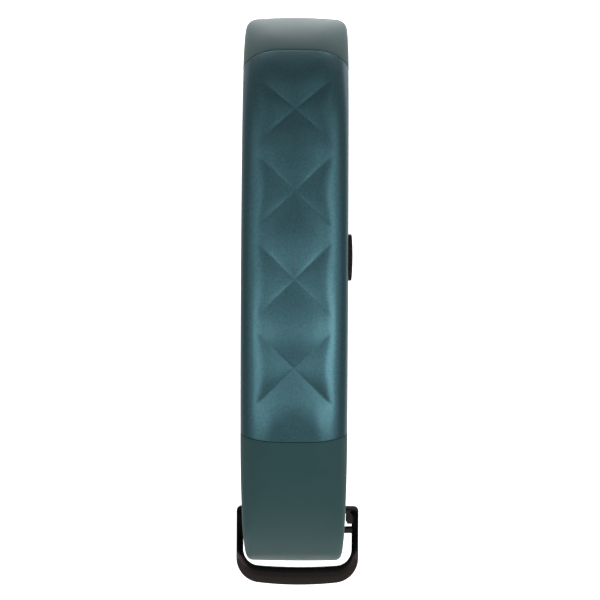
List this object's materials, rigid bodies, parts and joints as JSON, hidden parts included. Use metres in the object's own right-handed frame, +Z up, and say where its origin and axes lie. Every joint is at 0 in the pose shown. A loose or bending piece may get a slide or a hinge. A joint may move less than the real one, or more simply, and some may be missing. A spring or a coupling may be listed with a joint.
{
  "type": "fitness tracker band",
  "caption": "Slim wrist-worn activity tracker: curved quilted metal module on soft straps, closed by a metal clasp frame and a sliding tail keeper.",
  "frame": {"origin": "middle of the wrist opening, halfway across the band's width", "axes": "+X across the band towards the side button, -Y the way the tracker's cover faces, +Z up along the cover towards the upper strap"},
  "size_m": [0.0142, 0.0499, 0.0665],
  "materials": {
    "anodised_cover": "bead-blasted, teal anodised, quilted relief",
    "strap_rubber": "matte moulded thermoplastic elastomer, dark teal",
    "housing_plastic": "fine matte moulded",
    "seal_rubber": "moulded silicone",
    "clasp_metal": "dark bronze coated stainless steel, polished edges",
    "button_metal": "dark anodised, satin",
    "electrode_steel": "polished stainless",
    "contact_gold": "gold plated",
    "spring_steel": "drawn wire",
    "chassis_steel": "stamped sheet",
    "screw_steel": "black oxide",
    "board_laminate": "green solder mask",
    "chip_epoxy": "moulded epoxy",
    "shield_can": "tinned sheet",
    "battery_pouch": "laminated foil pouch",
    "flex_film": "amber polyimide film",
    "antenna_copper": "plated copper",
    "light_diffuser": "milky clear moulding",
    "magnet_plating": "nickel plated"
  },
  "bodies": {
    "band": {"anchor_screws": "screw_steel", "antenna": "antenna_copper", "antenna_carrier": "housing_plastic", "battery": "battery_pouch", "button_seal": "seal_rubber", "button_switch": "spring_steel", "centre_electrode": "electrode_steel", "charge_magnets": "magnet_plating", "charging_contacts": "contact_gold", "chassis": "chassis_steel", "clasp_lug": "clasp_metal", "contact_flex": "flex_film", "cover_gasket": "seal_rubber", "light_guide": "light_diffuser", "lower_anchor": "chassis_steel", "lower_electrode_a": "electrode_steel", "lower_electrode_b": "electrode_steel", "lower_flex": "flex_film", "lower_strap": "strap_rubber", "lug_rivets": "screw_steel", "main_board": "board_laminate", "memory_chip": "chip_epoxy", "motion_sensor": "chip_epoxy", "pawl_pin": "spring_steel", "pawl_spring": "spring_steel", "processor_chip": "chip_epoxy", "radio_module": "shield_can", "rear_housing": "housing_plastic", "skin_sensor_chip": "chip_epoxy", "status_leds": "light_diffuser", "top_cover": "anodised_cover", "upper_anchor": "chassis_steel", "upper_electrode_a": "electrode_steel", "upper_electrode_b": "electrode_steel", "upper_flex": "flex_film", "upper_strap": "strap_rubber", "vibration_motor": "shield_can"},
    "button": {"side_button": "button_metal"},
    "clasp": {"clasp_frame": "clasp_metal", "clasp_pin": "spring_steel"},
    "pawl": {"size_pawl": "clasp_metal"},
    "keeper": {"tail_keeper": "strap_rubber"}
  },
  "joints": [
    {"name": "button_press", "type": "slide", "parent": "band", "child": "button", "axis": [-1, 0, 0], "range_m": [0, 0.00022], "stiffness_N_per_m": 1500, "springref_m": -0.00005},
    {"name": "clasp_swing", "type": "hinge", "parent": "band", "child": "clasp", "pos_m": [0, -0.01075, -0.02808], "axis": [1, 0, 0], "range_deg": [-30, 12]},
    {"name": "pawl_lift", "type": "hinge", "parent": "band", "child": "pawl", "pos_m": [0, -0.00556, -0.02867], "axis": [-1, 0, 0], "range_deg": [0, 22], "stiffness_Nm_per_rad": 0.003, "springref_deg": -5.73},
    {"name": "keeper_slide", "type": "hinge", "parent": "band", "child": "keeper", "pos_m": [0, -0.01175, 0], "axis": [1, 0, 0], "range_deg": [-5, 5]}
  ]
}
